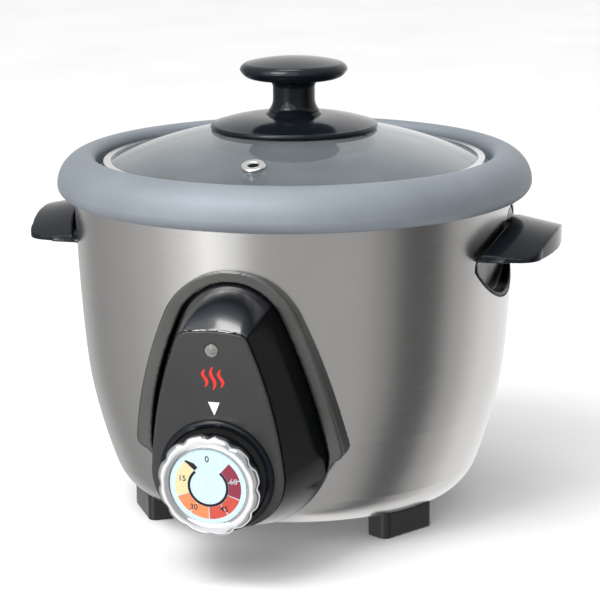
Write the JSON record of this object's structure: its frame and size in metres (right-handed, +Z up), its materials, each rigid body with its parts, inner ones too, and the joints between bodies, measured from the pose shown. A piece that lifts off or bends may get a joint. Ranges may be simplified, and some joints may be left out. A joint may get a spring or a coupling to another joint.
{
  "type": "rice cooker",
  "caption": "Round electric rice cooker: steel shell on three feet, lift-out pot with a wide rim, glass lid, side grips and a front timer dial.",
  "frame": {"origin": "on the pot's axis, in the plane of the feet's soles", "axes": "+Z up along the pot's axis, -Y towards the control panel, handles along X"},
  "size_m": [0.283, 0.2864, 0.241],
  "materials": {
    "shell_steel": "brushed vertical grain, satin",
    "pot_coating": "satin blue-grey non-stick coating",
    "lid_glass": "clear tempered glass",
    "lid_steel": "polished stainless steel",
    "black_gloss": "glossy black phenolic",
    "frame_grey": "gunmetal, semi-gloss",
    "face_grey": "dark grey, glossy",
    "dial_chrome": "bright chrome plating",
    "dial_print": "printed disc, pale with warm coloured cells",
    "lamp_lens": "clear lens",
    "cast_aluminium": "cast, machined top",
    "plated_steel": "zinc plated",
    "ceramic": "glazed white ceramic",
    "silicone": "silicone rubber",
    "brass": "plain",
    "spring_steel": "drawn wire",
    "wire_jacket": "glass-fibre sleeved lead",
    "timer_plastic": "moulded"
  },
  "bodies": {
    "root": {"outer_shell": "shell_steel", "base_cover": "plated_steel", "base_screws": "plated_steel", "foot_screws": "plated_steel", "panel_screws": "plated_steel", "inlet_screws": "plated_steel", "handle_screws": "plated_steel", "foot_front_right": "black_gloss", "foot_front_left": "black_gloss", "foot_rear": "black_gloss", "base_pillars": "plated_steel", "heater_screws": "plated_steel", "heater_plate": "cast_aluminium", "heater_standoffs": "plated_steel", "heater_element": "cast_aluminium", "heater_terminals": "brass", "terminal_bushings": "ceramic", "heat_shield": "plated_steel", "sensor_housing": "plated_steel", "thermostat_switch": "ceramic", "thermal_fuse": "ceramic", "right_handle": "black_gloss", "left_handle": "black_gloss", "right_handle_strap": "plated_steel", "left_handle_strap": "plated_steel", "panel_frame": "frame_grey", "panel_housing": "black_gloss", "panel_face": "face_grey", "indicator_lens": "lamp_lens", "indicator_lamp": "lamp_lens", "timer_bracket": "plated_steel", "timer_case": "timer_plastic", "timer_terminals": "brass", "dial_collar": "black_gloss", "inlet_pins": "brass", "power_inlet": "black_gloss", "terminal_block": "ceramic", "wire_live": "wire_jacket", "wire_neutral": "wire_jacket", "wire_heater": "wire_jacket", "wire_timer": "wire_jacket"},
    "pot": {"inner_pot": "pot_coating"},
    "lid": {"lid_glass": "lid_glass", "lid_band": "lid_steel", "vent_grommet": "lid_steel", "knob_base": "black_gloss", "lid_knob": "black_gloss", "knob_gasket": "silicone", "knob_washer": "lid_steel", "knob_screw": "lid_steel"},
    "dial": {"dial_hub": "black_gloss", "dial_ring": "dial_chrome", "dial_label": "dial_print", "timer_shaft": "plated_steel"},
    "sensor": {"sensor_cap": "cast_aluminium", "sensor_spring": "spring_steel"}
  },
  "joints": [
    {"name": "pot_lift", "type": "slide", "parent": "root", "child": "pot", "axis": [0, 0, 1], "range_m": [0, 0.15]},
    {"name": "lid_lift", "type": "slide", "parent": "pot", "child": "lid", "axis": [0, 0, 1], "range_m": [0, 0.06]},
    {"name": "dial_turn", "type": "hinge", "parent": "root", "child": "dial", "pos_m": [0, -0.14361, 0.055], "axis": [0, 0.9962, 0.0872], "range_deg": [0, 300]},
    {"name": "sensor_press", "type": "slide", "parent": "root", "child": "sensor", "axis": [0, 0, 1], "range_m": [-0.003, 0], "stiffness_N_per_m": 400, "springref_m": 0.002, "deforming": ["sensor_spring"]}
  ]
}
